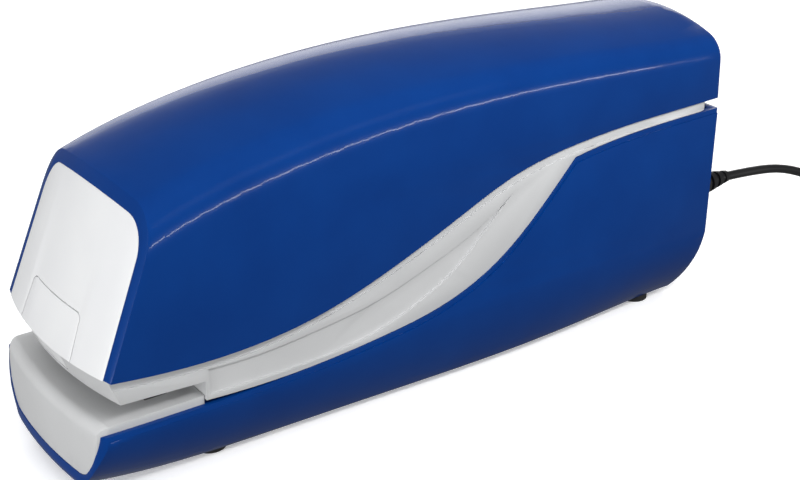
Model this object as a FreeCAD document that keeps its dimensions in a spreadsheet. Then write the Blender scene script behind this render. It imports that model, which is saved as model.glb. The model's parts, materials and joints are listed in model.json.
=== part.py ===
import FreeCAD, Part
import math
import os

from FreeCAD import Placement, Rotation, Vector

# Electric desk stapler with a mains adapter lead, in millimetres.
# X is the width, -Y the front with the stapling throat, +Z up; the feet stand on z = 0.

SIZES = {
    # outer shells
    "half_length": 103.2,
    "front_reach": 104.9,
    "face_radius": 150,
    "half_width": 30.2,
    "crown_radius": 68,
    "wall": 2.3,
    "seam_gap": 0.15,
    "front_radius": 120,
    "rim_width": 2.7,
    "cover_thick": 2.4,
    "band_half": 28.7,
    "band_wall": 2.2,
    "base_half": 29.5,
    "base_floor": 2,
    "tray_inset": 1.5,
    "tray_floor": 7.2,
    "tray_corner": 6,
    "bed_height": 23.4,
    "deck_height": 30.2,
    "deck_thick": 1.8,
    "throat_back": -73,
    "foot_radius": 4.5,
    # magazine
    "staple_line": -83.2,
    "channel_half": 7.6,
    "sheet_steel": 0.7,
    "channel_floor": 30.5,
    "channel_top": 38,
    "channel_front": -98,
    "channel_back": -24.6,
    "channel_tail": -16,
    "staple_half": 6.4,
    "staple_tall": 6,
    "strip_front": -82.6,
    "strip_back": -52.6,
    "pusher_long": 8,
    "spring_wire": 0.6,
    # driver
    "blade_thick": 0.6,
    "blade_half": 6.4,
    "blade_bottom": 38.2,
    "carrier_low": 52.8,
    "carrier_tall": 10,
    "carrier_half": 9,
    "arm_half": 3.5,
    "arm_depth": 4,
    "pin_radius": 1.5,
    "pivot_y": 16,
    "pivot_z": 50.8,
    "stroke": 14,
    # gear train
    "module_mm": 0.8,
    "mesh_play": 0.05,
    "cam_y": -22,
    "cam_z": 64,
    "shaft_radius": 2.5,
    "axle_radius": 1.5,
    "bearing_play": 0.05,
    "plate_thick": 1.5,
    "left_plate": -17,
    "centre_plate": 4.2,
    "centre_thick": 1.2,
    "right_plate": 21,
    "motor_radius": 13.8,
    "motor_front": 14.6,
    "motor_long": 36,
    # paper lever
    "lever_x": 15.8,
    "lever_wide": 3.4,
    "lever_y": -66,
    "lever_z": 46,
    # lead
    "lead_diameter": 3,
    "lead_x": 6,
    "lead_z": 25.5,
    "coil_x": -12,
    "coil_y": 243,
    "coil_inner": 11.5,
    "coil_outer": 23.5,
    "coil_tall": 12,
}

doc = FreeCAD.newDocument("electric_stapler")
dims = doc.addObject("Spreadsheet::Sheet", "dims")
for row, (alias, number) in enumerate(SIZES.items(), start=1):
    dims.set("A%d" % row, alias)
    dims.set("B%d" % row, str(number))
    dims.setAlias("B%d" % row, alias)
doc.recompute()

SUBPARTS = {}


def size(alias):
    return float(dims.get(alias))


def bind(thing, **formulas):
    """Bind properties to formulas of the sheet; plain numbers are formulas too."""
    for prop, formula in formulas.items():
        path = prop.replace("__", ".")
        thing.setExpression(path, str(formula))
    return thing


def place(thing, corner, turn=None):
    """Put a primitive at a corner whose coordinates are formulas or numbers."""
    thing.Placement = Placement(Vector(), turn or Rotation())
    return bind(thing, Placement__Base__x=corner[0], Placement__Base__y=corner[1],
                Placement__Base__z=corner[2])


def block(name, low, spans):
    box = doc.addObject("Part::Box", name)
    bind(box, Length=spans[0], Width=spans[1], Height=spans[2])
    return place(box, low)


TURN = {"x": Rotation(Vector(0, 1, 0), 90), "y": Rotation(Vector(1, 0, 0), -90), "z": Rotation()}


def rod(name, radius, length, start, axis="x"):
    cylinder = doc.addObject("Part::Cylinder", name)
    bind(cylinder, Radius=radius, Height=length)
    return place(cylinder, start, TURN[axis])


def fuse(name, *things):
    union = doc.addObject("Part::MultiFuse", name)
    union.Shapes = list(things)
    union.Refine = True
    return union


def common(name, *things):
    shared = doc.addObject("Part::MultiCommon", name)
    shared.Shapes = list(things)
    return shared


def cut(name, base, *tools):
    rest = doc.addObject("Part::Cut", name)
    rest.Base = base
    rest.Tool = tools[0] if len(tools) == 1 else fuse(name + "_tools", *tools)
    return rest


def group(name, *things):
    """Several separate solids that share one node."""
    several = doc.addObject("Part::Compound", name)
    several.Links = list(things)
    return several


def subpart(thing, name):
    thing.Label = name
    SUBPARTS[name] = thing
    return thing


def plane_of(body, role):
    return next(item for item in body.Origin.OriginFeatures if item.Role == role)


def sketch_in(body, name, role, curves, offset=0):
    """A sketch of end-to-end curves on one of the body's origin planes."""
    sketch = body.newObject("Sketcher::SketchObject", name)
    sketch.AttachmentSupport = [(plane_of(body, role), "")]
    sketch.MapMode = "FlatFace"
    sketch.AttachmentOffset = Placement(Vector(0, 0, offset), Rotation())
    sketch.addGeometry(curves, False)
    return sketch


def vec(point):
    return Vector(point[0], point[1], 0)


def outline(*steps):
    """Curves from a start point through steps: a point is a line to it, a pair of points is an
    arc through the first to the second, and a list is a smooth curve through all of them."""
    curves = []
    here = steps[0]
    for step in steps[1:] + (steps[0],):
        if isinstance(step, list):
            spline = Part.BSplineCurve()
            spline.interpolate([vec(here)] + [vec(point) for point in step])
            curves.append(spline)
            here = step[-1]
        elif isinstance(step[0], tuple):
            arc = Part.Arc(vec(here), vec(step[0]), vec(step[1]))
            curves.append(Part.ArcOfCircle(arc.Circle, arc.FirstParameter, arc.LastParameter)
                          if hasattr(arc, "Circle") else arc)
            here = step[1]
        elif math.dist(here, step) > 1e-6:
            curves.append(Part.LineSegment(vec(here), vec(step)))
            here = step
    return curves


def prism(name, role, curves, length, offset=0, both_ways=False):
    """A padded sketch in its own body. Roles: XY_Plane, XZ_Plane (grows to -Y), YZ_Plane."""
    body = doc.addObject("PartDesign::Body", name)
    sketch = sketch_in(body, name + "_sketch", role, curves, offset)
    pad = body.newObject("PartDesign::Pad", name + "_pad")
    pad.Profile = sketch
    pad.Midplane = both_ways
    bind(pad, Length=length)
    sketch.Visibility = False
    return body


def lofted(name, sections):
    """A smooth loft through closed XZ sections, each given as (y, curves)."""
    body = doc.addObject("PartDesign::Body", name)
    sketches = [sketch_in(body, "%s_section_%d" % (name, index), "XZ_Plane", curves, -y)
                for index, (y, curves) in enumerate(sections)]
    loft = body.newObject("PartDesign::AdditiveLoft", name + "_loft")
    loft.Profile = sketches[0]
    loft.Sections = sketches[1:]
    loft.Ruled = False
    return body


def solid_of(name, shape):
    feature = doc.addObject("Part::Feature", name)
    feature.Shape = shape
    return feature


# ---------------------------------------------------------------- shell forms

# Seam lines in the side view, as (y, z): the upper shell's lower edge and the base's top edge.
UPPER_SEAM = [(-110, 37.2), (-90, 34.9), (-66, 33.8), (-40, 36.7), (-18, 43.2), (5.5, 52.4),
              (25, 59.8), (45, 63.5), (75, 65.5), (112, 66.5)]
LOWER_SWEEP = [(-115, 21.9), (-100, 21.4), (-76, 21.0), (-45, 21.5), (-20, 23.4), (0, 26.7),
               (20, 35.3), (34, 46.8), (46.5, 59.7)]
LOWER_REAR = [(64, 61.9), (87, 62.9), (112, 63.6)]

# The top edge at mid width, as (y, z), the corner radius between crown and wall there, and how
# many crown radii the arch has: it flattens towards the front.
CROWN_LINE = [(-106, 66, 11, 1.6), (-84, 78, 11.8, 1.45), (-57.5, 86.2, 12, 1.12),
              (-20.5, 91.6, 11, 1), (19.5, 92.9, 10, 1), (64.5, 91.1, 9, 1), (108, 88.7, 8, 1)]
WALL_LEAN = 0.045
WALL_DATUM = 37


def lifted(points, rise):
    return [(point[0], point[1] + rise) for point in points]


def crown_section(top, corner, arch, inset):
    """Half-round crown over leaning walls, closed at the bottom, as curves in X and Z."""
    radius = arch * size("crown_radius") - inset
    corner = corner - inset
    half = size("half_width") - inset
    middle = top - inset - radius
    slope = math.hypot(1, WALL_LEAN)
    centre_z = top - corner
    for _ in range(40):
        wall_x = half - WALL_LEAN * (centre_z - WALL_DATUM)
        centre_x = wall_x - corner * slope
        centre_z = middle + math.sqrt((radius - corner) ** 2 - centre_x ** 2)
    reach = radius - corner
    start = (radius * centre_x / reach, middle + radius * (centre_z - middle) / reach)
    finish = (centre_x + corner / slope, centre_z + corner * WALL_LEAN / slope)
    half_way = math.atan2(start[1] - centre_z, start[0] - centre_x) / 2
    half_way += math.atan2(finish[1] - centre_z, finish[0] - centre_x) / 2
    bend = (centre_x + corner * math.cos(half_way), centre_z + corner * math.sin(half_way))
    foot_z = 24
    foot = (half - WALL_LEAN * (foot_z - WALL_DATUM), foot_z)

    def mirror(point):
        return (-point[0], point[1])

    return outline(foot, finish, (bend, start), ((0, top - inset), mirror(start)),
                   (mirror(bend), mirror(finish)), mirror(foot))


def crown_form(name, inset):
    return lofted(name, [(y, crown_section(top, corner, arch, inset))
                         for y, top, corner, arch in CROWN_LINE])


# Half-width of the base's flat bottom along its length, as (y, x).
BASE_LINE = [(-108, 13), (-88, 19.2), (-60, 21.9), (-10, 23.7), (50, 23.9), (108, 22.2)]
TUMBLE_TOP = 24


def base_section(bottom_half, inset, floor, corner):
    """Upright walls that curve in to a flat bottom, one arc a side and a corner radius where it
    meets the floor, as curves in X and Z."""
    half = size("base_half")
    rise = TUMBLE_TOP - size("base_floor")
    lean = half - bottom_half
    radius = (lean ** 2 + rise ** 2) / (2 * lean)
    middle_x = half - radius
    radius -= inset
    half -= inset
    corner_z = floor + corner
    corner_x = middle_x + math.sqrt((radius - corner) ** 2 - (TUMBLE_TOP - corner_z) ** 2)

    def on_wall(angle):
        return (middle_x + radius * math.cos(angle), TUMBLE_TOP + radius * math.sin(angle))

    def on_corner(angle):
        return (corner_x + corner * math.cos(angle), corner_z + corner * math.sin(angle))

    def mirror(point):
        return (-point[0], point[1])

    turn = math.atan2(corner_z - TUMBLE_TOP, corner_x - middle_x)
    join = on_wall(turn)
    bend = on_wall(turn / 2)
    knee = on_corner((turn - math.pi / 2) / 2)
    foot = (corner_x, floor)
    top = 70
    return outline((half, top), (half, TUMBLE_TOP), (bend, join), (knee, foot), mirror(foot),
                   (mirror(knee), mirror(join)), (mirror(bend), (-half, TUMBLE_TOP)), (-half, top))


def base_form(name, inset, floor=None, corner=1):
    if floor is None:
        floor = size("base_floor") + inset
    return lofted(name, [(y, base_section(x, inset, floor, corner)) for y, x in BASE_LINE])


def tray_form(name, inset, play):
    """The room in the base's front that the tray fills."""
    return base_form(name, inset, size("tray_floor") + play, size("tray_corner"))


def plan_form(name, half, rear, corner, low, height):
    """A plan outline with rounded rear corners, open ended far in front."""
    front = -115
    near = corner * (1 - math.sqrt(0.5))
    curves = outline((-half, front), (half, front), (half, rear - corner),
                     ((half - near, rear - near), (half - corner, rear)), (corner - half, rear),
                     ((near - half, rear - near), (-half, rear - corner)))
    return prism(name, "XY_Plane", curves, height, offset=low)


def leaning_drum(name, nose, lean, inset=0):
    """A drum whose foremost line passes through nose and leans back by lean per unit of height;
    it trims a front face that is convex in plan."""
    along = Vector(0, lean, 1).normalize()
    inward = Vector(0, along.z, -along.y)
    radius = size("front_radius")
    middle = Vector(0, nose[0], nose[1]) + inward * radius
    drum = doc.addObject("Part::Cylinder", name)
    bind(drum, Radius="dims.front_radius - %g" % inset, Height=500)
    drum.Placement = Placement(middle - along * 250, Rotation(Vector(0, 0, 1), along))
    return drum


FRONT_NOSE = (-102.4, 36.7)
FRONT_LEAN = 0.42
BAND_NOSE = (-102.1, 36)
BAND_LEAN = -0.36


def front_trim(name, inset=0):
    return leaning_drum(name, FRONT_NOSE, FRONT_LEAN, inset)


def barrel(name, *profile):
    """A body turned about an upright axis behind the base's front face. The profile gives steps
    for an outline as (distance behind the foremost line, z) from the bottom to the top."""
    radius = size("face_radius")

    def from_axis(step):
        if isinstance(step, list):
            return [from_axis(point) for point in step]
        if isinstance(step[0], tuple):
            return (from_axis(step[0]), from_axis(step[1]))
        return (step[0] - radius, step[1])

    steps = [from_axis(step) for step in profile]
    last = steps[-1][1] if isinstance(steps[-1][0], tuple) else steps[-1]
    curves = outline((0, steps[0][1]), *steps, (0, last[1]))
    body = doc.addObject("PartDesign::Body", name)
    sketch = sketch_in(body, name + "_sketch", "YZ_Plane", curves)
    sketch.AttachmentOffset = Placement(Vector(radius - size("front_reach"), 0, 0), Rotation())
    turned = body.newObject("PartDesign::Revolution", name + "_turn")
    turned.Profile = sketch
    turned.ReferenceAxis = (sketch, ["V_Axis"])
    turned.Angle = 360
    sketch.Visibility = False
    return body


def base_corners(name, half, corner, front):
    """A plan outline that rounds the front corners of the base."""
    near = corner * (1 - math.sqrt(0.5))
    curves = outline((-half, 115), (-half, front + corner), ((near - half, front + near),
                                                             (corner - half, front)),
                     (0, -115), (half - corner, front), ((half - near, front + near),
                                                         (half, front + corner)), (half, 115))
    return prism(name, "XY_Plane", curves, 90, offset=-5)


def edge_steps(name, lines, drop, half, depth):
    """Two slabs that set the strip along a seam, drop tall, back by depth on both sides."""
    lowered = [lifted(line, -drop) for line in lines]
    start = lowered[0][0]
    curves = outline((start[0], 80), start, lowered[0][1:], *lowered[1:],
                     (lowered[-1][-1][0], 80))
    return [prism("%s_%s" % (name, side), "YZ_Plane", curves, 5, offset=where)
            for side, where in (("right", half - depth), ("left", depth - half - 5))]


# ---------------------------------------------------------------- outer shells

def make_upper_housing():
    gap = size("seam_gap")
    wall = size("wall")
    end = size("half_length")
    above = outline((-115, 110), (-115, 37.6 + gap), lifted(UPPER_SEAM, gap), (115, 110))
    outer = common("upper_outer", crown_form("upper_crown", 0), front_trim("upper_front"),
                   prism("upper_side", "YZ_Plane", above, 80, both_ways=True),
                   plan_form("upper_plan", 32, end, 4, 20, 80))
    inner = common("upper_inner", crown_form("upper_cavity", size("rim_width")),
                   plan_form("upper_cavity_plan", 31, end - wall, 2, 10, 90))
    subpart(cut("upper_housing", outer, inner), "upper_housing")


def cover_outline(name, half_top, half_foot, low, top, corner):
    """The door's outline in the front view, as a prism along Y."""
    near = corner * (1 - math.sqrt(0.5))
    curves = outline((half_foot, low), (half_top, top - corner),
                     ((half_top - near, top - near), (half_top - corner, top)),
                     (corner - half_top, top), ((near - half_top, top - near),
                                                (-half_top, top - corner)), (-half_foot, low))
    return prism(name, "XZ_Plane", curves, 30, offset=85)


def make_front_cover():
    inset = size("rim_width") + 0.1
    thick = size("cover_thick")
    slab = cut("cover_slab", front_trim("cover_face"), front_trim("cover_back", thick))
    whole = common("cover_whole", crown_form("cover_crown", inset), slab,
                   block("cover_zone", (-40, -120, 35.9), (80, 70, 60)))
    hole = cover_outline("door_hole", 13.75, 14.85, 34.9, 47.2, 2.2)
    subpart(cut("front_cover", whole, hole), "front_cover")


def make_mid_housing():
    gap = size("seam_gap")
    half = size("band_half")
    inner = half - size("band_wall")
    back = size("throat_back")
    rear = size("half_length") - 3
    deck = size("deck_height")
    under = deck - size("deck_thick")
    sweep_back = list(reversed([point for point in LOWER_SWEEP if point[0] > back + 5]))
    rear_back = list(reversed(LOWER_REAR[:-1])) + [sweep_back[0]]
    side = outline((-112, 29.6), (-112, 36.8), lifted(UPPER_SEAM, -gap), lifted(LOWER_REAR, gap)[-1],
                   lifted(rear_back, gap), lifted(sweep_back[1:] + [(back, 22.1)], gap),
                   (back, 27.6))
    outer = common("band_outer", prism("band_side", "YZ_Plane", side, 80, both_ways=True),
                   plan_form("band_plan", half, rear, 4, 15, 60),
                   leaning_drum("band_nose", BAND_NOSE, BAND_LEAN),
                   fuse("band_face", front_trim("band_front", size("cover_thick") + 0.1),
                        block("band_chin", (-40, -120, 20), (80, 60, 15.75))))
    facet = outline((-72, 30.8), [(-52, 30.6), (-38, 32.0), (-22, 34.5), (-7, 39.1), (10, 45.8),
                                  (24, 54.4)],
                    [(13.5, 44.3), (3.5, 35.9), (-7, 30.4), (-22, 25.4), (-38, 23.4),
                     (-53, 23.1), (-72, 23.5)])
    hollow_top = block("band_room", (-inner, "dims.throat_back - 23.5", "dims.deck_height"),
                       (2 * inner, rear - 2.2 - back + 23.5, 60))
    hollow_low = block("band_cellar", (-inner, "dims.throat_back + 1.6", 10),
                       (2 * inner, rear - 3.8 - back, under - 10))
    hollow_rear = block("band_rear_room", (-inner, -5, 10), (2 * inner, rear - 2.2 + 5, 60))
    staple_slot = block("staple_slot", (-7.2, "dims.staple_line - 1.1", 20), (14.4, 2.3, 15))
    mouth = block("drawer_mouth", (-8.2, -110, "dims.deck_height"), (16.4, 20, 20))
    lever_slot = block("lever_slot", ("dims.lever_x - 0.4", "dims.lever_y - 7.6", 20),
                       ("dims.lever_wide + 0.8", 13, 15))
    facets = [prism("facet_%s" % name, "YZ_Plane", facet, 5, offset=where)
              for name, where in (("right", half - 0.7), ("left", -half - 4.3))]
    steps = edge_steps("band_step", [UPPER_SEAM], 2.6, half, 0.35)
    subpart(cut("mid_housing", outer, hollow_top, hollow_low, hollow_rear, staple_slot, mouth,
                lever_slot, *(facets + steps)), "mid_housing")


def base_side(name, inset):
    """The base in the side view: flat bottom and a rear that leans in below, open ended far in
    front. A positive inset gives the room inside, open at the top."""
    end = size("half_length")
    low = size("base_floor") + inset
    rear = end - inset
    if inset:
        top = [(-115, 80), (rear, 80), (rear, 40)]
    else:
        top = [LOWER_SWEEP[0], LOWER_SWEEP[1:], LOWER_REAR, (115, 40), (rear, 40)]
    curves = outline((-115, low), *top, ((rear - 1.3, 17), (rear - 6.2, low)))
    return prism(name, "YZ_Plane", curves, 80, both_ways=True)


def make_base():
    back = size("throat_back")
    end = size("half_length")
    wall = size("wall")
    inset = size("tray_inset")
    outer = common("base_outer", base_form("base_hull", 0), base_side("base_side", 0),
                   plan_form("base_plan", 32, end, 4, -5, 90),
                   base_corners("base_corners", size("base_half"), 6, -103.1),
                   barrel("base_face", (4, -5), (1.6, 2), ((0.3, 3.6), (0, 6)),
                          [(0, 8), (0.1, 14), (0.6, 20), (1.3, 25)], (2, 80)))
    cavity = common("base_cavity", base_form("base_cavity_hull", wall),
                    base_side("base_cavity_side", wall),
                    block("base_room", (-40, back + 1.5, 0), (80, end - back, 80)))
    tray_room = common("tray_room", tray_form("tray_room_hull", inset, 0),
                       block("tray_zone", (-40, -110, 0), (80, 110 + back - 0.1, 80)))
    posts = [rod("base_post_%d" % index, 4, height, (x, y, 3), "z")
             for index, (x, y, height) in enumerate(BASE_POSTS)]
    posts = common("base_posts", group("base_post_group", *posts),
                   base_form("base_post_hull", 1))
    plug_hole = rod("plug_hole", 5.1, 20, ("dims.lead_x", end - 10, "dims.lead_z"), "y")
    holes = [rod("base_hole_%d" % index, 1.6, 40, (x, y, 0), "z")
             for index, (x, y, _) in enumerate(BASE_POSTS)]
    sinks = [rod("base_sink_%d" % index, 3.1, 3.2, (x, y, 0), "z")
             for index, (x, y, _) in enumerate(BASE_POSTS)]
    shell = cut("base_open", outer, cavity, tray_room)
    solid = fuse("base_solid", shell, posts)
    steps = edge_steps("base_step", [LOWER_SWEEP, LOWER_REAR], 1.5, size("base_half"), 0.4)
    subpart(cut("base_shell", solid, plug_hole, *(holes + sinks + steps)), "base_shell")


BASE_POSTS = [(-18, -48, 24), (18, -48, 24), (-17, 62, 15.4), (17, 62, 15.4)]
FEET = [(-15.5, -66), (15.5, -66), (-17, 86), (17, 86)]


def make_tray():
    back = size("throat_back")
    front = size("front_reach")
    bed = size("bed_height")
    inset = size("tray_inset") + 0.05
    low = size("tray_floor") - 1
    body = common("tray_body", tray_form("tray_hull", inset, 0.05),
                  block("tray_span", (-40, -120, low), (80, 120 + back - 0.2, 40)),
                  base_corners("tray_corners", size("base_half") - inset, 4.5, -102.8),
                  barrel("tray_face", (0.3, low), [(0.3, 8), (0.35, 14), (0.7, bed - 3)],
                         ((1.6, bed - 0.9), (3.8, bed))))
    hollow = common("tray_hollow", tray_form("tray_hollow_hull", inset + 2, 2),
                    block("tray_cellar", (-40, 5 - front, 0), (80, front + back - 7.5, bed - 2.4)))
    pocket = block("anvil_pocket", (-21.6, "dims.staple_line - 3.1", bed - 1.1), (43.2, 6.4, 5))
    subpart(cut("anvil_tray", body, hollow, pocket), "anvil_tray")

    plate = block("anvil_blank", (-21.5, "dims.staple_line - 3", bed - 1.1), (43, 6.2, 1))
    grooves = [rod("clinch_%s" % name, 1.1, 4.8, (x, "dims.staple_line", bed + 0.35), "x")
               for name, x in (("right", 1), ("left", -5.8))]
    subpart(cut("anvil_plate", plate, *grooves), "anvil_plate")


def make_feet_and_screws():
    pads = []
    for index, (x, y) in enumerate(FEET):
        pads.append(rod("foot_%d" % index, "dims.foot_radius", "dims.base_floor", (x, y, 0), "z"))
    subpart(group("foot_group", *pads), "rubber_feet")
    screws = []
    for index, (x, y, height) in enumerate(BASE_POSTS):
        head = rod("base_screw_head_%d" % index, 2.9, 1.8, (x, y, 1.3), "z")
        shank = rod("base_screw_shank_%d" % index, 1.5, height - 3, (x, y, 3.0), "z")
        slot = block("base_screw_slot_%d" % index, (x - 2.2, y - 0.35, 0), (4.4, 0.7, 2))
        screws.append(cut("base_screw_%d" % index, fuse("base_screw_blank_%d" % index, head, shank),
                          slot))
    subpart(group("base_screw_group", *screws), "base_screws")


# ---------------------------------------------------------------- magazine drawer

def make_drawer():
    half = size("channel_half")
    steel = size("sheet_steel")
    floor = size("channel_floor")
    top = size("channel_top")
    front = size("channel_front")
    back = size("channel_back")
    door_zone = cover_outline("door_zone", 13.5, 14.5, 35.9, 46.9, 2)
    slab = cut("door_slab", front_trim("door_face"), front_trim("door_back", 2.4))
    panel = common("door_panel", door_zone, slab)
    lip_zone = block("lip_zone", (-7.9, -110, floor), (15.8, 11.2, 5.8))
    lip = common("door_lip", lip_zone, leaning_drum("lip_nose", BAND_NOSE, BAND_LEAN),
                 front_trim("lip_front", 0.3))
    stop = block("former", (-half + steel, -99.5, floor + 0.3), (2 * (half - steel), 15.2, 5.6))
    web = block("door_web", (-half + steel, -99.4, floor + 2), (2 * (half - steel), 3.4, 9))
    subpart(fuse("drawer_front", panel, lip, stop, web), "drawer_front")

    outer = block("channel_outer", (-half, front, floor), (2 * half, back - front, top - floor))
    inner = block("channel_inner", (steel - half, front - 1, floor + steel),
                  (2 * (half - steel), back - front + 1 - steel, 20))
    nose_gap = block("channel_nose_gap", (steel - half, front - 1, floor - 1),
                     (2 * (half - steel), "dims.strip_front - 0.1 + 99", 5))
    # behind the rear wall only the side walls run on, to keep the open drawer on its guide and
    # clear of the blade
    tails = [block("channel_tail_%s" % name, (x, back, floor),
                   (steel, "dims.channel_tail - dims.channel_back", top - floor))
             for name, x in (("right", half - steel), ("left", -half))]
    trough = cut("channel_trough", outer, inner, nose_gap)
    subpart(fuse("magazine_channel", trough, *tails), "magazine_channel")

    low = floor + steel + 0.1
    legs = block("strip_blank", ("-dims.staple_half", "dims.strip_front", low),
                 ("2 * dims.staple_half", "dims.strip_back - dims.strip_front", "dims.staple_tall"))
    void = block("strip_void", ("-dims.staple_half + 0.6", -90, low - 1),
                 ("2 * dims.staple_half - 1.2", 50, "dims.staple_tall + 0.4"))
    subpart(cut("staple_strip", legs, void), "staple_strip")

    axis_z = low + 2.9
    rail = rod("rail", 1, back - steel + 50, (0, -50, axis_z), "y")
    subpart(rail, "pusher_rail")
    shoe = block("shoe_blank", ("-dims.staple_half + 0.1", "dims.strip_back + 0.05", low + 0.1),
                 ("2 * dims.staple_half - 0.2", "dims.pusher_long", 5.9))
    bore = rod("shoe_bore", 1.06, 20, (0, "dims.strip_back - 5", axis_z), "y")
    subpart(cut("pusher", shoe, bore), "pusher")
    start = size("strip_back") + size("pusher_long") + 0.3
    subpart(coil_spring("pusher_spring", 2.0, size("spring_wire"), back - steel - 0.3 - start, 9,
                        Vector(0, start, axis_z), "y"), "pusher_spring")


WIRE_SIDES = 8


def coil_spring(name, radius, wire, length, turns, start, axis):
    """A spring of eight-sided wire along an axis from start. Each half turn is a tilted half
    ring; the halves meet with one tangent, and the section turns with them so that it meets."""
    rise = (length - wire) / (2 * turns)
    reach = math.hypot(radius, rise / 2)
    twist = 2 * math.atan2(rise / 2, radius)
    halves = []
    for index in range(2 * turns):
        side = 1 if index % 2 == 0 else -1
        middle = Vector(0, 0, wire / 2 + (index + 0.5) * rise)
        across = Vector(side * radius, 0, -rise / 2)
        around = Vector(0, side, 0)
        angles = [index * twist + 2 * math.pi * step / WIRE_SIDES for step in range(WIRE_SIDES + 1)]
        corners = [Vector(reach + wire / 2 * math.cos(angle), 0, wire / 2 * math.sin(angle))
                   for angle in angles]
        half = Part.Face(Part.makePolygon(corners)).revolve(Vector(), Vector(0, 0, 1), 180)
        half.Placement = Placement(middle, Rotation(across, around, across.cross(around), "XYZ"))
        halves.append(half)
    spring = solid_of(name, halves[0].fuse(halves[1:]))
    spring.Placement = Placement(start, TURN[axis])
    return spring


def make_magazine_guide():
    half = size("channel_half") + 0.3
    outer = block("guide_outer", (-half - 1.2, -78, "dims.deck_height"),
                  (2 * half + 2.4, "dims.channel_tail + 1.8 + 78", 8.2))
    inner = block("guide_inner", (-half, -80, 20), (2 * half, "dims.channel_tail + 80.4", 30))
    subpart(cut("magazine_guide", outer, inner), "magazine_guide")
    base = block("catch_base", (-4, "dims.channel_tail + 2", "dims.deck_height"), (8, 7, 5))
    stem = block("catch_stem", (-1.5, "dims.channel_tail + 3", 35.2), (3, 5, 3))
    subpart(fuse("drawer_catch", base, stem), "drawer_catch")


# ---------------------------------------------------------------- driver and arm

def make_driver():
    line = size("staple_line")
    thick = size("blade_thick")
    bottom = size("blade_bottom")
    low = size("carrier_low")
    half = size("carrier_half")
    tall = size("carrier_tall")
    back = line + thick / 2
    subpart(block("blade", ("-dims.blade_half", line - thick / 2, bottom),
                  ("2 * dims.blade_half", thick, low + tall - bottom - 0.5)), "driver_blade")
    body = block("carrier_body", (-half, back, low), (2 * half, 8, tall))
    gap = block("carrier_gap", (-4.2, back + 1.4, low - 1), (8.4, 20, tall + 2))
    pin_z = low + tall / 2
    slot = block("carrier_slot", (-20, back + 2.7, pin_z - 1.7), (40, 4, 3.4))
    subpart(cut("driver_carrier", body, gap, slot), "driver_carrier")

    side = half + 0.2
    rails = [block("rail_%s" % name, (x, line - 3.3, 38.6), (2.6, 12, 27.4))
             for name, x in (("right", side), ("left", -side - 2.6))]
    bridge = block("guide_bridge", (-side, line - 3.3, 38.6), (2 * side, 2.6, 10))
    subpart(fuse("driver_guide", bridge, *rails), "driver_guide")


def arm_geometry():
    """Pivot and tip pin of the hammer arm in the side view, and the tilt of the line between."""
    pivot = (size("pivot_y"), size("pivot_z"))
    tip = (size("staple_line") + 5, size("carrier_low") + size("carrier_tall") / 2)
    return pivot, tip, math.atan2(tip[1] - pivot[1], pivot[0] - tip[0])


def arm_swing():
    """Angle in radians that lowers the tip by the full stroke."""
    pivot, tip, tilt = arm_geometry()
    return size("stroke") / math.dist(pivot, tip)


def make_arm():
    pivot, tip, tilt = arm_geometry()
    deep = size("arm_depth")
    up = (math.sin(tilt) * deep, math.cos(tilt) * deep)
    near = (tip[0] + 6, tip[1] - 6 * math.tan(tilt))
    top_tip = (tip[0] + math.sin(tilt) * 3, tip[1] + math.cos(tilt) * 3)
    low_tip = (tip[0] - math.sin(tilt) * 3, tip[1] - math.cos(tilt) * 3)
    curves = outline(top_tip, (near[0] + up[0], near[1] + up[1]),
                     (pivot[0] + up[0], pivot[1] + up[1]),
                     ((pivot[0] + 4.6, pivot[1]), (pivot[0] - up[0], pivot[1] - up[1])),
                     (near[0] - up[0], near[1] - up[1]), low_tip,
                     ((tip[0] - 3, tip[1]), top_tip))
    bar = prism("arm_bar", "YZ_Plane", curves, "2 * dims.arm_half", both_ways=True)
    bores = [rod("arm_bore_%s" % name, radius, 20, (-10, y, z), "x")
             for name, (y, z), radius in (("pivot", pivot, 2.05), ("tip", tip, 1.5))]
    window = [rod("arm_window_%d" % index, 2, 20, (-10, y, pivot[1] + (pivot[0] - y)
                                                  * math.tan(tilt)), "x")
              for index, y in enumerate((-64, -54, -44))]
    subpart(cut("hammer_arm", bar, *(bores + window)), "hammer_arm")
    subpart(rod("tip_pin", "dims.pin_radius", 17, (-8.5, tip[0], tip[1]), "x"), "arm_pin")
    subpart(rod("pivot_bar", 2, "dims.centre_plate + dims.centre_thick - dims.left_plate",
                ("dims.left_plate", "dims.pivot_y", "dims.pivot_z"), "x"), "arm_pivot")
    subpart(coil_spring("arm_spring", 3.2, 1, 8, 6, Vector(-13.5, pivot[0], pivot[1]), "x"),
            "arm_spring")


# ---------------------------------------------------------------- gear train

PRESSURE = math.radians(25)
FLANK_POINTS = 4
BACKLASH = 0.12
AXES_TO_SIDE = Rotation(Vector(1, 1, 1), 120)
GEARS = {"cam": 56, "second_pinion": 14, "second_wheel": 40, "first_pinion": 12,
         "first_wheel": 42, "motor": 12}
SECOND_BEARING = math.radians(-14)


def polar(radius, angle):
    return Vector(radius * math.cos(angle), radius * math.sin(angle), 0)


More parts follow.
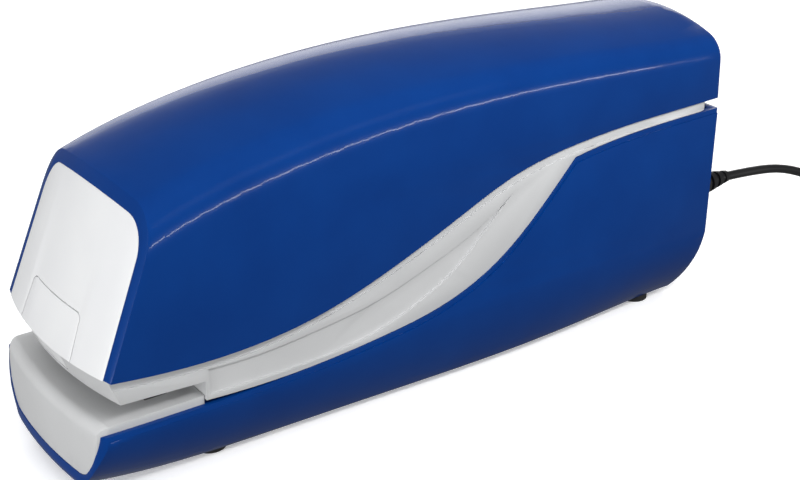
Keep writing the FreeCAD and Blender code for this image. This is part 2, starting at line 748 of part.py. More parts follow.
def gear_blank(teeth, thick, phase):
    """An involute spur gear about local Z with a tooth centred on the phase angle."""
    module = size("module_mm")
    pitch = module * teeth / 2
    base = pitch * math.cos(PRESSURE)
    tip = pitch + module
    root = pitch - 1.25 * module
    half = math.pi / (2 * teeth) - BACKLASH / (2 * pitch)
    spread = math.tan(PRESSURE) - PRESSURE
    first = max(base, root)

    def flank_angle(radius):
        roll = math.acos(min(1, base / radius))
        return half + spread - (math.tan(roll) - roll)

    radii = [first + (tip - first) * step / (FLANK_POINTS - 1) for step in range(FLANK_POINTS)]
    edges = []
    step = 2 * math.pi / teeth
    for tooth in range(teeth):
        middle = phase + tooth * step
        rise = [polar(radius, middle - flank_angle(radius)) for radius in radii]
        fall = [polar(radius, middle + flank_angle(radius)) for radius in reversed(radii)]
        foot_in = polar(root, middle - flank_angle(first))
        foot_out = polar(root, middle + flank_angle(first))
        next_foot = polar(root, middle + step - flank_angle(first))
        if first - root > 1e-6:
            edges.append(Part.makeLine(foot_in, rise[0]))
        for points in (rise, fall):
            flank = Part.BSplineCurve()
            flank.interpolate(points)
            if points is fall:
                edges.append(Part.Arc(rise[-1], polar(tip, middle), fall[0]).toShape())
            edges.append(flank.toShape())
        if first - root > 1e-6:
            edges.append(Part.makeLine(fall[-1], foot_out))
        edges.append(Part.Arc(foot_out, polar(root, middle + step / 2), next_foot).toShape())
    return Part.Face(Part.Wire(edges)).extrude(Vector(0, 0, thick))


def seated(shape, x, centre):
    """Turn a shape from local axes to the side view and move it to its shaft."""
    shape.Placement = Placement(Vector(x, centre[0], centre[1]), AXES_TO_SIDE)
    return shape


def shaft_centres():
    module = size("module_mm")
    play = size("mesh_play")
    cam = (size("cam_y"), size("cam_z"))
    reach = module * (GEARS["cam"] + GEARS["second_pinion"]) / 2 + play
    second = (cam[0] + reach * math.cos(SECOND_BEARING), cam[1] + reach * math.sin(SECOND_BEARING))
    reach = module * (GEARS["second_wheel"] + GEARS["first_pinion"]) / 2 + play
    first = (second[0] + reach, second[1])
    reach = module * (GEARS["first_wheel"] + GEARS["motor"]) / 2 + play
    motor = (first[0] + reach, first[1])
    return {"cam": cam, "second": second, "first": first, "motor": motor}


def meshing_phase(driver_teeth, driver_phase, bearing, teeth):
    """Phase that puts a gap of the driven gear where the driver has a tooth."""
    pitch = 2 * math.pi / driver_teeth
    ahead = (driver_phase - bearing + pitch / 2) % pitch - pitch / 2
    gap = bearing + math.pi - ahead * driver_teeth / teeth
    return gap + math.pi / teeth


def bored(shape, radius, low=-1, length=60):
    return shape.cut(Part.makeCylinder(radius, length, Vector(0, 0, low)))


def make_gears():
    centres = shaft_centres()
    play = size("bearing_play")
    axle = size("axle_radius")
    phase_cam = 0
    cam_wheel = gear_blank(GEARS["cam"], 5, phase_cam)
    rim = Part.makeCylinder(19.2, 1.4, Vector(0, 0, 3.6)).cut(
        Part.makeCylinder(5.5, 1.4, Vector(0, 0, 3.6)))
    cam_wheel = bored(cam_wheel.cut(rim), size("shaft_radius"))
    subpart(solid_of("cam_gear", seated(cam_wheel, 6, centres["cam"])), "cam_gear")

    phase = meshing_phase(GEARS["cam"], phase_cam, SECOND_BEARING, GEARS["second_pinion"])
    pinion = gear_blank(GEARS["second_pinion"], 6.2, phase)
    wheel = gear_blank(GEARS["second_wheel"], 3.5, 0)
    wheel.translate(Vector(0, 0, 6.2))
    both = bored(pinion.fuse(wheel).removeSplitter(), axle + play)
    subpart(solid_of("second_gear", seated(both, 5.8, centres["second"])), "second_gear")

    phase = meshing_phase(GEARS["second_wheel"], 0, 0, GEARS["first_pinion"])
    pinion = gear_blank(GEARS["first_pinion"], 4.6, phase)
    wheel = gear_blank(GEARS["first_wheel"], 3, 0)
    wheel.translate(Vector(0, 0, 4.6))
    both = bored(pinion.fuse(wheel).removeSplitter(), axle + play)
    subpart(solid_of("first_gear", seated(both, 12, centres["first"])), "first_gear")

    phase = meshing_phase(GEARS["first_wheel"], 0, 0, GEARS["motor"])
    pinion = bored(gear_blank(GEARS["motor"], 3.8, phase), 1)
    subpart(solid_of("motor_pinion", seated(pinion, 16.5, centres["motor"])), "motor_pinion")

    left = size("left_plate")
    right = size("right_plate") + size("plate_thick")
    subpart(rod("cam_spindle", "dims.shaft_radius", right - left, (left, "dims.cam_y",
                                                                   "dims.cam_z")), "cam_shaft")
    axles = [rod("axle_%s" % name, "dims.axle_radius",
                 "dims.right_plate + dims.plate_thick - dims.centre_plate",
                 ("dims.centre_plate", centres[name][0], centres[name][1]))
             for name in ("second", "first")]
    subpart(group("axle_group", *axles), "gear_axles")


def cam_support(turn, start, rise):
    """Distance from the shaft to the cam's flat follower, and its slope, by cam turn."""
    if turn <= math.pi:
        return start + rise * turn / math.pi, rise / math.pi
    back = (turn - math.pi) / math.pi
    slope = rise / math.pi
    cube = (2 * back ** 3 - 3 * back ** 2 + 1, back ** 3 - 2 * back ** 2 + back,
            -2 * back ** 3 + 3 * back ** 2, back ** 3 - back ** 2)
    rate = (6 * back ** 2 - 6 * back, 3 * back ** 2 - 4 * back + 1, 6 * back - 6 * back ** 2,
            3 * back ** 2 - 2 * back)
    ends = (start + rise, slope * math.pi, start, slope * math.pi)
    return (sum(end * weight for end, weight in zip(ends, cube)),
            sum(end * weight for end, weight in zip(ends, rate)) / math.pi)


CAM_CLEARANCE = 0.2


def make_cam():
    """The lobe turns by half a turn (about +X) while it presses the arm's flat top down; its
    outline is the envelope of that edge."""
    pivot, _, tilt = arm_geometry()
    swing = arm_swing()
    centre = (size("cam_y"), size("cam_z"))

    def follower(turn):
        """Distance from the cam shaft to the arm's top edge, and that edge's downward normal."""
        lean = tilt - swing * turn / math.pi
        normal = (-math.sin(lean), -math.cos(lean))
        offset = ((pivot[0] - centre[0]) * normal[0] + (pivot[1] - centre[1]) * normal[1]
                  - size("arm_depth"))
        return offset - CAM_CLEARANCE, math.atan2(normal[1], normal[0])

    start, _ = follower(0)
    finish, _ = follower(math.pi)
    points = []
    count = 72
    for index in range(count):
        turn = 2 * math.pi * index / count
        reach, slope = cam_support(turn, start, finish - start)
        lean = follower(min(turn, 2 * math.pi - turn))[1]
        own = lean - turn
        points.append(Vector(reach * math.cos(own) + slope * math.sin(own),
                             reach * math.sin(own) - slope * math.cos(own), 0))
    contour = Part.BSplineCurve()
    contour.interpolate(points, True)
    lobe = Part.Face(Part.Wire(contour.toShape())).extrude(Vector(0, 0, 7))
    lobe = bored(lobe, size("shaft_radius"))
    subpart(solid_of("lobe", seated(lobe, -3.5, centre)), "drive_cam")


# ---------------------------------------------------------------- chassis

SPACERS = [(-60, 68), (14, 79), (-6, 38.5), (22, 35.5)]


def make_chassis():
    centres = shaft_centres()
    pivot = arm_geometry()[0]
    play = size("bearing_play")
    deck = size("deck_height")
    edge = ((-68, deck), (-70, 58), (-63, 72), (-38, 80), (5, 83), (20, 83), (32, 72))
    left = outline(*(edge + ((32, 33), (12, 32.5), (-5, deck))))
    right = outline(*(edge + ((61, 72), (61, 42), (32, 42), (30, 33), (12, 32.5), (-5, deck))))
    centre = outline((-30, 57), (-30, 72), (-10, 74), (8, 82), (20, 82), (31, 64), (31, 48),
                     (22, 42), (8, 42), (-8, 47), (-16, 56))

    def holes(tag, x, places):
        return [rod("%s_hole_%d" % (tag, index), radius, 8, (x - 3, y, z))
                for index, (y, z, radius) in enumerate(places)]

    shaft_hole = (centres["cam"][0], centres["cam"][1], size("shaft_radius") + play)
    axle_holes = [(centres[name][0], centres[name][1], size("axle_radius"))
                  for name in ("second", "first")]
    bars = [(y, z, 2) for y, z in SPACERS]
    plates = (("left", left, -17, [shaft_hole, (pivot[0], pivot[1], 2)] + bars, 0),
              ("centre", centre, 4.2, [shaft_hole, (pivot[0], pivot[1], 2), bars[1]]
               + axle_holes, 0.3),
              ("right", right, 21, [shaft_hole] + axle_holes + bars, 0))
    for tag, curves, x, places, thinner in plates:
        plate = prism("%s_sheet" % tag, "YZ_Plane", curves,
                      "dims.centre_thick" if thinner else "dims.plate_thick", offset=x)
        pieces = [plate]
        if tag == "left":
            pieces.append(block("left_flange", (-22, -66, deck), (5.2, 56, 1.5)))
        if tag == "right":
            pieces.append(block("right_flange", (22.3, -66, deck), (3.9, 56, 1.5)))
        whole = pieces[0] if len(pieces) == 1 else fuse("%s_blank" % tag, *pieces)
        drilled = cut("%s_plate" % tag, whole, *holes(tag, x, places))
        subpart(drilled, "chassis_%s" % tag)
    spacers = [rod("spacer_%d" % index, 2, "dims.right_plate + dims.plate_thick - dims.left_plate",
                   ("dims.left_plate", y, z)) for index, (y, z) in enumerate(SPACERS)]
    subpart(group("spacer_group", *spacers), "chassis_spacers")
    screws = []
    for index, (x, y) in enumerate(((-19.6, -58), (-19.6, -18), (24.3, -58), (24.3, -18))):
        screws.append(rod("chassis_screw_%d" % index, 1.5, 1.2, (x, y, deck + 1.5), "z"))
    subpart(group("chassis_screw_group", *screws), "chassis_screws")


# ---------------------------------------------------------------- motor and electrics

def make_motor():
    centre = shaft_centres()["motor"]
    front = size("motor_front")
    long = size("motor_long")
    y, z = centre
    can = rod("can_round", "dims.motor_radius", long - 6, (front - long + 6, y, z))
    flats = block("can_flats", (front - long, y - 12, z - 20), (long, 24, 40))
    boss = rod("can_boss", 4, 1.2, (front - 0.01, y, z))
    shaft_bore = rod("can_bore", 1.08, 20, (front - 10, y, z))
    body = cut("can_body", fuse("can_whole", common("can_trim", can, flats), boss), shaft_bore)
    subpart(body, "motor_can")
    cap = rod("cap_round", "dims.motor_radius - 0.4", 4.5, (front - long + 1.5, y, z))
    stub = rod("cap_stub", 3.2, 1.6, (front - long, y, z))
    tabs = [block("cap_tab_%d" % index, (front - long - 1.8, y - 0.3, z + side * 8 - 1.4),
                  (3.6, 0.6, 2.8)) for index, side in enumerate((-1, 1))]
    subpart(fuse("cap_body", cap, stub, *tabs), "motor_cap")
    subpart(rod("rotor_pin", 1, 15.6, (front - 9.5, y, z)), "motor_shaft")

    plate = block("mount_plate", (front, y - 12.5, z - 13.5), (1.2, 25.5, 27))
    tabs = [block("mount_tab_%d" % index, (front, y + 2, z + side - 0.6), (6.4, 11, 1.2))
            for index, side in enumerate((-12.9, 12.9))]
    hole = rod("mount_hole", 4.0, 10, (front - 5, y, z))
    screw_holes = [rod("mount_screw_hole_%d" % index, 1.1, 10, (front - 5, y, z + side))
                   for index, side in enumerate((-8, 8))]
    subpart(cut("motor_mount", fuse("mount_blank", plate, *tabs), hole, *screw_holes),
            "motor_mount")
    screws = []
    for index, side in enumerate((-8, 8)):
        head = rod("motor_screw_head_%d" % index, 1.8, 0.6, (front + 1.2, y, z + side))
        shank = rod("motor_screw_shank_%d" % index, 1.1, 1.2, (front, y, z + side))
        screws.append(fuse("motor_screw_%d" % index, head, shank))
    subpart(group("motor_screw_group", *screws), "motor_screws")


def make_electrics():
    board_low = 18.4
    thick = 1.6
    top = board_low + thick
    lead_x = size("lead_x")
    lead_z = size("lead_z")
    end = size("half_length")
    board = block("board_blank", (-22, 44, board_low), (44, 54, thick))
    subpart(board, "circuit_board")
    pieces = [rod("reservoir_cap", 5, 13, (-13, 88, top), "z"),
              rod("small_cap", 3, 8, (-4, 92, top), "z"),
              block("relay", (-18, 66, top), (15, 12, 11)),
              block("driver_chip", (2, 60, top), (10, 7, 3)),
              block("choke", (14, 70, top), (6, 9, 7)),
              block("diode_row", (3, 72, top), (8, 2.4, 2.4))]
    subpart(group("component_group", *pieces), "board_parts")
    jack = block("jack_body", (lead_x - 5, 86, top), (10, end - 3.2 - 86, 11))
    jack_hole = rod("jack_hole", 2.8, 20, (lead_x, 90, lead_z), "y")
    subpart(cut("dc_jack", jack, jack_hole), "dc_jack")

    body = block("switch_body", (14.6, -61.8, 31), (6.4, 10, 20))
    well = rod("switch_well", 1.06, 5, (17.5, -61.9, 36), "y")
    subpart(cut("paper_switch", body, well), "paper_switch")
    stem = rod("switch_stem", 1, 4.4, (17.5, -63.8, 36), "y")
    subpart(stem, "switch_plunger")
    home = block("home_body", (-15.5, -34, 72), (6.4, 20, 8))
    button = rod("home_button", 1, 1.4, (-12.3, -24, 70.6), "z")
    subpart(fuse("home_switch", home, button), "home_switch")

    lever_x = size("lever_x")
    wide = size("lever_wide")
    y = size("lever_y")
    z = size("lever_z")
    bar = block("lever_bar", (lever_x, y - 2, 25), (wide, 4, z - 25))
    eye = rod("lever_eye", 2.6, wide, (lever_x, y, z))
    tongue = block("lever_tongue", (lever_x, y - 9.5, 25), (wide, 9, 2))
    bore = rod("lever_bore", 1.06, 20, (lever_x - 5, y, z))
    subpart(cut("paper_lever", fuse("lever_blank", bar, eye, tongue), bore), "paper_lever")
    subpart(rod("lever_hinge", 1, 7.5, (13.5, y, z)), "lever_pin")


# ---------------------------------------------------------------- lead

def corner_path(points, ratio=0.45):
    """Straight runs joined by tangent arcs; returns the wire and the arc radii."""
    points = [Vector(*point) for point in points]
    edges = []
    radii = []
    here = points[0]
    for before, corner, after in zip(points, points[1:], points[2:]):
        inward = (before - corner).normalize()
        outward = (after - corner).normalize()
        shorter = min((before - corner).Length, (after - corner).Length)
        trim = ratio * shorter
        enter = corner + inward * trim
        leave = corner + outward * trim
        half_open = inward.getAngle(outward) / 2
        radius = trim * math.tan(half_open)
        bisector = (inward + outward).normalize()
        middle = corner + bisector * (radius / math.sin(half_open) - radius)
        edges.append(Part.LineSegment(here, enter).toShape())
        edges.append(Part.Arc(enter, middle, leave).toShape())
        radii.append(radius)
        here = leave
    edges.append(Part.LineSegment(here, points[-1]).toShape())
    return Part.Wire(edges), radii


def tube(name, points, diameter):
    path, radii = corner_path(points)
    start = Vector(*points[0])
    along = (Vector(*points[1]) - start).normalize()
    ring = Part.Wire(Part.makeCircle(diameter / 2, start, along))
    body = path.makePipeShell([ring], True, False)
    ideal = math.pi * diameter ** 2 / 4 * path.Length
    print("%s: length %.1f, volume ratio %.4f, radii %s"
          % (name, path.Length, body.Volume / ideal, " ".join("%.0f" % radius for radius in radii)))
    return solid_of(name, body)


LEAD_ROUTE = [(6, 137.5, 25.2), (6, 152, 24.2), (6.2, 167, 21.6), (7, 182, 15.5), (8, 196, 7.5),
              (8.8, 209, 2.7), (9.2, 221, 1.7), (9.1, 232, 1.6)]
TAIL_ROUTE = [(8, 252, 10.6), (8.3, 261, 11.2), (8.4, 270.5, 13), (8, 280, 15)]
WIRE_ROUTES = {
    "motor_wires": ([(-23, 47.8, 65.5), (-24.5, 47.8, 58), (-24.6, 55, 40), (-21, 60, 24),
                     (-20, 60, 20.3)],
                    [(-23, 47.8, 49.5), (-24, 50, 44), (-23, 54, 30), (-20, 56, 24),
                     (-19, 56, 20.3)]),
}


def make_lead():
    x = size("lead_x")
    z = size("lead_z")
    end = size("half_length")
    barrel = rod("plug_barrel", 2.75, 9.8, (x, end - 11, z), "y")
    grip = rod("plug_grip", 5, 22, (x, end - 1.2, z), "y")
    subpart(fuse("plug_whole", barrel, grip), "dc_plug")
    start = end + 20.8
    finish = LEAD_ROUTE[0][1]
    cone = doc.addObject("Part::Cone", "relief_cone")
    bind(cone, Radius1=4.2, Radius2=1.9, Height=finish - start)
    place(cone, (x, start, z - 0.15), TURN["y"])
    grooves = []
    for index in range(3):
        ring = rod("relief_ring_%d" % index, 6, 1.5, (x, start + 3 + index * 3.6, z - 0.15), "y")
        core = rod("relief_core_%d" % index, 2.6 - index * 0.4, 1.5,
                   (x, start + 3 + index * 3.6, z - 0.15), "y")
        grooves.append(cut("relief_groove_%d" % index, ring, core))
    subpart(cut("strain_relief", cone, *grooves), "strain_relief")
    subpart(tube("lead_tube", LEAD_ROUTE, size("lead_diameter")), "power_lead")
    ring = rod("coil_ring", "dims.coil_outer", "dims.coil_tall", ("dims.coil_x", "dims.coil_y", 0),
               "z")
    eye = rod("coil_eye", "dims.coil_inner", 40, ("dims.coil_x", "dims.coil_y", -5), "z")
    subpart(cut("lead_coil", ring, eye), "lead_coil")
    across = size("coil_outer") - size("coil_inner") + 2.4
    strap = block("tie_outer", ("dims.coil_x - dims.coil_outer - 1.2", "dims.coil_y - 2.5", 0),
                  (across, 5, "dims.coil_tall + 1"))
    turns_space = cut("tie_space", rod("tie_ring", "dims.coil_outer + 0.05", "dims.coil_tall",
                                       ("dims.coil_x", "dims.coil_y", 0), "z"),
                      rod("tie_eye", "dims.coil_inner - 0.05", 40,
                          ("dims.coil_x", "dims.coil_y", -5), "z"))
    subpart(cut("tie_loop", strap, turns_space), "lead_tie")
    subpart(tube("tail_tube", TAIL_ROUTE, size("lead_diameter")), "lead_tail")
    case = block("case_blank", (-16, 280, 0), (44, 56, 30))
    rounded = doc.addObject("Part::Fillet", "case_round")
    rounded.Base = case
    doc.recompute()
    rounded.Edges = [(index + 1, 4, 4) for index in range(len(case.Shape.Edges))]
    subpart(rounded, "wall_adapter")
    pins = [rod("adapter_pin_%d" % index, 2, 19, (6 + side, 336, 15), "y")
            for index, side in enumerate((-9.3, 9.3))]
    subpart(group("pin_group", *pins), "adapter_pins")


def make_wires():
    wires = [tube("%s_%d" % (name, index), route, 1.4)
             for name, routes in WIRE_ROUTES.items() for index, route in enumerate(routes)]
    subpart(group("wire_group", *wires), "motor_wires")


# ---------------------------------------------------------------- build and write

def build():
    make_upper_housing()
    make_front_cover()
    make_mid_housing()
    make_base()
    make_tray()
    make_feet_and_screws()
    make_drawer()
    make_magazine_guide()
    make_driver()
    make_arm()
    make_gears()
    make_cam()
    make_chassis()
    make_motor()
    make_electrics()
    make_lead()
    make_wires()
    doc.recompute()


def check():
    for thing in doc.Objects:
        if "Invalid" in thing.State or "Error" in thing.State:
            raise RuntimeError("%s failed: %s" % (thing.Name, thing.State))
    for name, thing in SUBPARTS.items():
        shape = thing.Shape
        if shape.isNull() or not shape.isValid() or not shape.Solids:
            raise RuntimeError("%s has no valid solid" % name)


def write():
    os.makedirs("parts", exist_ok=True)
    for name, thing in SUBPARTS.items():
        thing.Shape.exportStep("parts/%s.step" % name)


build()
check()
write()
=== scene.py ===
import bpy
import json
import math
import random
from mathutils import Matrix, Vector


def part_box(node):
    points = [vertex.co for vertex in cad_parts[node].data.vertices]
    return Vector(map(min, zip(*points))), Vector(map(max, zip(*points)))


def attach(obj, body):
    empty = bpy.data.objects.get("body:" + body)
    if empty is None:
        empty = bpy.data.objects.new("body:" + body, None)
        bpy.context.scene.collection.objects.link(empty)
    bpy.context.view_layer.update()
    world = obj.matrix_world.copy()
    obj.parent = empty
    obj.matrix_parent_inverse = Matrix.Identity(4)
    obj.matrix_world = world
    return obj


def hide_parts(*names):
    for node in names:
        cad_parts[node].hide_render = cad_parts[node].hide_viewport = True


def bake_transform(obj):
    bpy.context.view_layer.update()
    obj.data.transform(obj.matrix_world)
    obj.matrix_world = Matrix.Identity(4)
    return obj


MM = 0.001
WHITE = (1, 1, 1, 1)
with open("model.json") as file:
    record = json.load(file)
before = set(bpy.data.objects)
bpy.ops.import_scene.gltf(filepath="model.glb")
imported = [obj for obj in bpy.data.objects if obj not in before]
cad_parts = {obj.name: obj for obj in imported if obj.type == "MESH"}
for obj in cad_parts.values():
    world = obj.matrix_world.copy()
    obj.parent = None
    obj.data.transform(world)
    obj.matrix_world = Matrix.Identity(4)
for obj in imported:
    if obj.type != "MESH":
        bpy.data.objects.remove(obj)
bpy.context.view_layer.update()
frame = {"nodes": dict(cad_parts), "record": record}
NODES = frame["nodes"]


def placed(name, data):
    """A new object with that data, in the scene."""
    thing = bpy.data.objects.new(name, data)
    bpy.context.collection.objects.link(thing)
    return thing


# ---------------------------------------------------------------- materials

RAMP_FROM = 0.3     # noise below this gives the low end of a ramp
RAMP_TO = 0.7       # and above this the high end
COAT_ROUGHNESS = 0.04


def linear(channel):
    return channel / 12.92 if channel <= 0.04045 else ((channel + 0.055) / 1.055) ** 2.4


def colour(red, green, blue):
    """An sRGB colour given as 0 to 255, as the linear RGBA that Blender wants."""
    return tuple(linear(value / 255) for value in (red, green, blue)) + (1.0,)


class Material:
    """A node material with a Principled shader and short calls for what feeds it."""

    def __init__(self, name):
        self.material = bpy.data.materials.new(name)
        self.material.use_nodes = True
        self.tree = self.material.node_tree
        self.shader = self.tree.nodes["Principled BSDF"]
        self.coords = self.node("ShaderNodeTexCoord").outputs["Object"]

    def node(self, kind, **inputs):
        made = self.tree.nodes.new(kind)
        for name, value in inputs.items():
            made.inputs[name].default_value = value
        return made

    def link(self, source, target):
        self.tree.links.new(source, target)

    def feed(self, source, name):
        self.link(source, self.shader.inputs[name])

    def set(self, **values):
        for name, value in values.items():
            self.shader.inputs[name.replace("_", " ")].default_value = value

    def noise(self, scale, detail=2.0, stretch=None):
        """Noise with features about 1 / scale metres across, finer along a stretched axis."""
        texture = self.node("ShaderNodeTexNoise", Scale=scale, Detail=detail)
        source = self.coords
        if stretch:
            mapping = self.node("ShaderNodeMapping", Scale=stretch)
            self.link(self.coords, mapping.inputs["Vector"])
            source = mapping.outputs["Vector"]
        self.link(source, texture.inputs["Vector"])
        return texture.outputs["Fac"]

    def value_ramp(self, source, low, high):
        ramp = self.node("ShaderNodeMapRange")
        ends = {"From Min": RAMP_FROM, "From Max": RAMP_TO, "To Min": low, "To Max": high}
        for name, value in ends.items():
            ramp.inputs[name].default_value = value
        self.link(source, ramp.inputs["Value"])
        return ramp.outputs["Result"]

    def colour_ramp(self, source, low, high):
        ramp = self.node("ShaderNodeValToRGB")
        stops = ramp.color_ramp.elements
        for stop, place, tone in zip(stops, (RAMP_FROM, RAMP_TO), (low, high)):
            stop.position = place
            stop.color = tone
        self.link(source, ramp.inputs["Fac"])
        return ramp.outputs["Color"]

    def bump(self, height, distance):
        """Raises the surface by a height map of that depth in metres."""
        node = self.node("ShaderNodeBump", Distance=distance, Strength=1.0)
        self.link(height, node.inputs["Height"])
        self.feed(node.outputs["Normal"], "Normal")


def moulded(name, tone, deep, rough, grain=9000, depth=4e-6, coat=0.0, specular=0.5,
            uneven=0.035):
    """Moulded plastic: faint cloudy colour, fine grain and uneven gloss."""
    made = Material(name)
    clouds = made.noise(60, 3)
    sheen = made.noise(90, 2)
    made.feed(made.colour_ramp(clouds, colour(*deep), colour(*tone)), "Base Color")
    made.feed(made.value_ramp(sheen, rough - uneven, rough + uneven), "Roughness")
    made.bump(made.noise(grain, 3), depth)
    made.set(Coat_Weight=coat, Coat_Roughness=COAT_ROUGHNESS, Specular_IOR_Level=specular)
    return made.material


def metal(name, tone, deep, rough, along=(40, 900, 900), depth=3e-6):
    """Rolled or ground metal with a lay of fine lines along one axis."""
    made = Material(name)
    lines = made.noise(6, 6, stretch=along)
    sheen = made.noise(220, 3)
    made.feed(made.colour_ramp(lines, colour(*deep), colour(*tone)), "Base Color")
    made.feed(made.value_ramp(sheen, rough - 0.06, rough + 0.08), "Roughness")
    made.bump(lines, depth)
    made.set(Metallic=1.0)
    return made.material


def board(name):
    """Solder mask with a faint raster of copper tracks under it."""
    made = Material(name)
    tracks = made.node("ShaderNodeTexBrick", Scale=160, Color1=colour(14, 92, 52),
                       Color2=colour(20, 108, 62), Mortar=colour(8, 66, 36))
    made.link(made.coords, tracks.inputs["Vector"])
    made.feed(tracks.outputs["Color"], "Base Color")
    made.bump(tracks.outputs["Fac"], 2e-5)
    made.set(Roughness=0.3)
    return made.material


# material slot: light tone, dark tone, roughness, and what differs from a plain moulding
PLASTICS = {
    "blue_shell": ((4, 54, 124), (3, 50, 118), 0.24,
                   {"grain": 2500, "depth": 4e-7, "coat": 0.2, "specular": 0.12,
                    "uneven": 0.015}),
    "white_cover": ((226, 227, 228), (222, 223, 225), 0.33, {"grain": 7000, "depth": 5e-6}),
    "grey_body": ((196, 197, 198), (192, 193, 194), 0.42, {"grain": 7000, "depth": 6e-6}),
    "foot_rubber": ((38, 38, 40), (28, 28, 30), 0.75, {"grain": 2600, "depth": 2e-5}),
    "black_plastic": ((36, 37, 39), (28, 29, 31), 0.5, {"depth": 1e-5}),
    "gear_nylon": ((238, 234, 220), (226, 221, 204), 0.45, {"depth": 1e-5}),
    "component_black": ((44, 44, 48), (34, 34, 38), 0.45, {}),
    "switch_red": ((186, 40, 34), (166, 32, 28), 0.4, {}),
    "lead_black": ((30, 30, 32), (22, 22, 24), 0.42, {"grain": 3200, "depth": 1.2e-5}),
    "adapter_black": ((34, 34, 36), (26, 26, 28), 0.5, {"grain": 2400, "depth": 2e-5}),
    "wire_red": ((170, 34, 30), (150, 28, 26), 0.4, {}),
}
# the same for metals
METALS = {
    "anvil_steel": ((120, 120, 122), (84, 84, 88), 0.35, {}),
    "zinc_screw": ((205, 206, 208), (168, 170, 174), 0.28, {}),
    "sheet_steel": ((198, 200, 203), (164, 167, 172), 0.3, {}),
    "staple_wire": ((214, 215, 218), (160, 162, 166), 0.25,
                    {"along": (30, 2200, 30), "depth": 3e-5}),
    "spring_steel": ((170, 172, 178), (120, 122, 128), 0.3, {}),
    "hard_steel": ((176, 178, 182), (140, 142, 147), 0.24, {}),
    "pinion_brass": ((214, 178, 98), (178, 142, 70), 0.28, {}),
    "motor_steel": ((180, 183, 188), (150, 153, 160), 0.36, {}),
    "pin_nickel": ((220, 219, 214), (190, 188, 182), 0.2, {}),
}


def make_materials():
    made = {"board_green": board("board_green")}
    for build, looks in ((moulded, PLASTICS), (metal, METALS)):
        for slot, (tone, deep, rough, extras) in looks.items():
            made[slot] = build(slot, tone, deep, rough, **extras)
    return made


MATERIALS = make_materials()
SLOT_OF = {part["node"]: part["material_slot"] for part in frame["record"]["subparts"]}

for node_name, node in NODES.items():
    node.data.materials.clear()
    node.data.materials.append(MATERIALS[SLOT_OF[node_name]])


# ---------------------------------------------------------------- edges

# radius of the sharp edges of each moulded part that is seen, in millimetres
EDGE_RADII = {"upper_housing": 1.3, "base_shell": 0.5, "mid_housing": 0.4, "front_cover": 0.35,
              "anvil_tray": 0.5, "drawer_front": 0.35}
EDGE_SEGMENTS = 3
SHARP_FROM = math.radians(38)
FLAT_WITHIN = math.radians(0.4)
WELD_WITHIN = 2e-6


def soften_edges(node, radius):
    """Joins the CAD mesh's flat facets, then rounds its sharp edges."""
    for polygon in node.data.polygons:
        polygon.use_smooth = True
    weld = node.modifiers.new("weld", "WELD")
    weld.merge_threshold = WELD_WITHIN
    flatten = node.modifiers.new("flatten", "DECIMATE")
    flatten.decimate_type = "DISSOLVE"
    flatten.angle_limit = FLAT_WITHIN
    bevel = node.modifiers.new("bevel", "BEVEL")
    bevel.width = radius * MM
    bevel.segments = EDGE_SEGMENTS
    bevel.limit_method = "ANGLE"
    bevel.angle_limit = SHARP_FROM
    bevel.harden_normals = True


for node_name, radius in EDGE_RADII.items():
    soften_edges(NODES[node_name], radius)


# ---------------------------------------------------------------- the pusher's spring

def make_pusher_coil():
    """The pusher's spring, between the pusher and the drawer, as a copy of its CAD mesh."""
    coil = placed("pusher_coil", NODES["pusher_spring"].data.copy())
    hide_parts("pusher_spring")
    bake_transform(coil)


make_pusher_coil()


# ---------------------------------------------------------------- the lead

LEAD_WIDE = 3 * MM
# where the lead runs from its strain relief to the coil, and on to the adapter, in millimetres
LEAD_ROUTE = [(6, 137.5, 25.2), (6, 152, 24.2), (6.2, 167, 21.6), (7, 182, 15.5), (8, 196, 7.5),
              (8.8, 209, 2.7), (9.2, 221, 1.7), (9.1, 232, 1.6)]
TAIL_ROUTE = [(8, 252, 10.6), (8.3, 261, 11.2), (8.4, 270.5, 13), (8, 280, 15)]
COIL_LAYERS = 4
LAYER_TURNS = 3         # in one layer
CLIMB_TURNS = 2 / 3     # from one layer to the next
TURN_POINTS = 15
COIL_SLACK = 0.1 * MM   # between the coil and its CAD ring
COIL_WANDER = 0.1 * MM  # how far a turn strays from its spiral
COIL_LIFT = 0.05 * MM   # off the desk


def coil_points():
    """The put-away turns: flat layers on each other, each a spiral."""
    chance = random.Random(5)
    low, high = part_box("lead_coil")
    centre = ((low[0] + high[0]) / 2, (low[1] + high[1]) / 2)
    outer = (high[0] - low[0]) / 2 - LEAD_WIDE / 2 - COIL_SLACK
    cycle = LAYER_TURNS + CLIMB_TURNS
    all_turns = COIL_LAYERS * LAYER_TURNS + (COIL_LAYERS - 1) * CLIMB_TURNS
    points = []
    for step in range(1, round(all_turns * TURN_POINTS)):
        turn = step / TURN_POINTS
        layer = int(turn / cycle)
        within = turn - layer * cycle
        wound = min(within, LAYER_TURNS) * LEAD_WIDE
        radius = outer - (wound if layer % 2 == 0 else LAYER_TURNS * LEAD_WIDE - wound)
        climb = max(0.0, within - LAYER_TURNS) / CLIMB_TURNS
        height = (layer + 0.5 + math.sin(climb * math.pi / 2)) * LEAD_WIDE
        angle = 2 * math.pi * turn
        radius += chance.uniform(-1, 1) * COIL_WANDER
        points.append((centre[0] + radius * math.cos(angle),
                       centre[1] + radius * math.sin(angle), height + COIL_LIFT))
    return points


def in_metres(route):
    return [tuple(value * MM for value in point) for point in route]


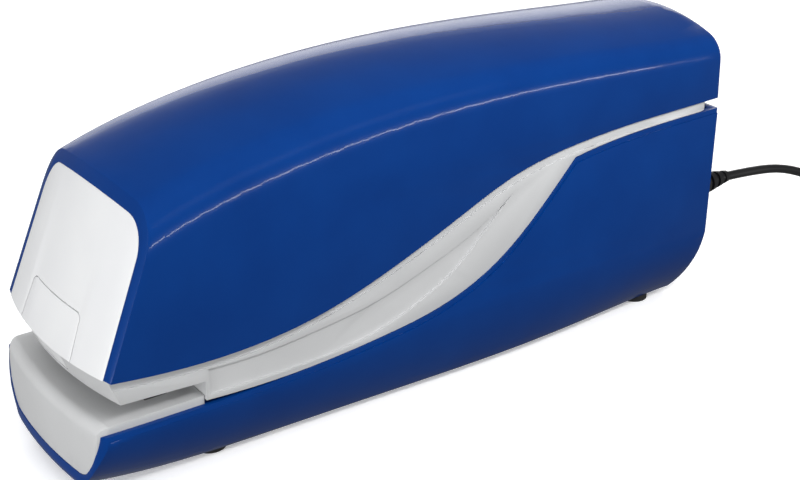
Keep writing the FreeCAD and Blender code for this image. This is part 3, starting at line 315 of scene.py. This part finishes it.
def make_lead():
    route = in_metres(LEAD_ROUTE) + coil_points() + in_metres(TAIL_ROUTE)
    curve = bpy.data.curves.new("lead", "CURVE")
    curve.dimensions = "3D"
    curve.bevel_depth = LEAD_WIDE / 2
    curve.bevel_resolution = 4
    curve.resolution_u = 4
    spline = curve.splines.new("NURBS")
    spline.points.add(len(route) - 1)
    for point, place in zip(spline.points, route):
        point.co = place + (1.0,)
    spline.order_u = 3
    spline.use_endpoint_u = True
    curve.materials.append(MATERIALS["lead_black"])
    lead = placed("lead", curve)
    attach(lead, "root")
    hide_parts("power_lead", "lead_coil", "lead_tail")


make_lead()


# ---------------------------------------------------------------- studio

FLOOR_REACH = 6
FLOOR_GLOW = 0.34
WORLD_STRENGTH = 0.2

# lamp: place, what it aims at, width, height, power in watts, whether it shows in the gloss
LAMPS = {
    "dome": ((0, 0.1, 1.9), (0, 0.1, 0), 3.2, 3.2, 23, False),
    "front": ((0.08, -0.9, 0.22), (0, 0, 0.04), 0.5, 0.5, 4.4, True),
    "strip": ((0.7, 0.3, 0.14), (0, 0.02, 0.08), 0.7, 0.03, 1.6, True),
    "rear": ((-0.85, 0.5, 0.16), (0, 0, 0.08), 1.2, 0.3, 1.6, True),
    "side": ((0.18, 0.03, 0.22), (0.03, 0, 0.06), 0.26, 0.04, 0.42, False),
    "left": ((-0.9, 0.35, 0.3), (0, 0.02, 0.04), 1.2, 0.6, 7, False),
    "kick": ((0.3, -0.6, 0.06), (0, -0.04, 0.02), 0.6, 0.08, 1.2, False),
}

# the main view, from the front right and above, with a longish lens; angles in degrees
VIEW_AZIMUTH = 53.82
VIEW_ELEVATION = 24.73
VIEW_ROLL = 0.476
VIEW_DISTANCE = 417.1 * MM
VIEW_TARGET = Vector((0, 6.73, 33.99)) * MM
LENS = 65.25
SENSOR = 36
NEAREST = 0.01


def make_floor():
    """A large white floor that lights nothing and shows in no gloss."""
    mesh = bpy.data.meshes.new("floor")
    corners = ((-1, -1), (1, -1), (1, 1), (-1, 1))
    mesh.from_pydata([(x * FLOOR_REACH, y * FLOOR_REACH, 0) for x, y in corners], [],
                     [(0, 1, 2, 3)])
    floor = placed("floor", mesh)
    made = Material("floor")
    made.feed(made.colour_ramp(made.noise(3), colour(250, 250, 250), colour(252, 252, 252)),
              "Base Color")
    made.set(Roughness=0.9, Specular_IOR_Level=0.1, Emission_Color=WHITE,
             Emission_Strength=FLOOR_GLOW)
    mesh.materials.append(made.material)
    floor.visible_glossy = False
    floor.visible_diffuse = False


def make_world():
    world = bpy.data.worlds.new("studio")
    bpy.context.scene.world = world
    world.use_nodes = True
    back = world.node_tree.nodes["Background"]
    back.inputs["Color"].default_value = WHITE
    back.inputs["Strength"].default_value = WORLD_STRENGTH


def area_light(name, place, aim, width, height, power, glossy):
    lamp = bpy.data.lights.new(name, "AREA")
    lamp.shape = "RECTANGLE"
    lamp.size = width
    lamp.size_y = height
    lamp.energy = power
    thing = placed(name, lamp)
    thing.location = place
    thing.rotation_euler = (Vector(aim) - Vector(place)).to_track_quat("-Z", "Y").to_euler()
    thing.visible_glossy = glossy


def make_camera():
    azimuth = math.radians(VIEW_AZIMUTH)
    elevation = math.radians(VIEW_ELEVATION)
    roll = math.radians(VIEW_ROLL)
    back = Vector((math.sin(azimuth) * math.cos(elevation),
                   -math.cos(azimuth) * math.cos(elevation), math.sin(elevation)))
    level = Vector((math.cos(azimuth), math.sin(azimuth), 0))
    upright = back.cross(level)
    right = math.cos(roll) * level + math.sin(roll) * upright
    top = -math.sin(roll) * level + math.cos(roll) * upright
    data = bpy.data.cameras.new("camera")
    data.sensor_width = SENSOR
    data.lens = LENS
    data.clip_start = NEAREST
    camera = placed("camera", data)
    axes = Matrix((right, top, back)).transposed().to_4x4()
    camera.matrix_world = Matrix.Translation(VIEW_TARGET + back * VIEW_DISTANCE) @ axes
    bpy.context.scene.camera = camera


make_floor()
make_world()
for lamp_name, settings in LAMPS.items():
    area_light(lamp_name, *settings)
make_camera()
bpy.context.scene.view_settings.view_transform = "Standard"
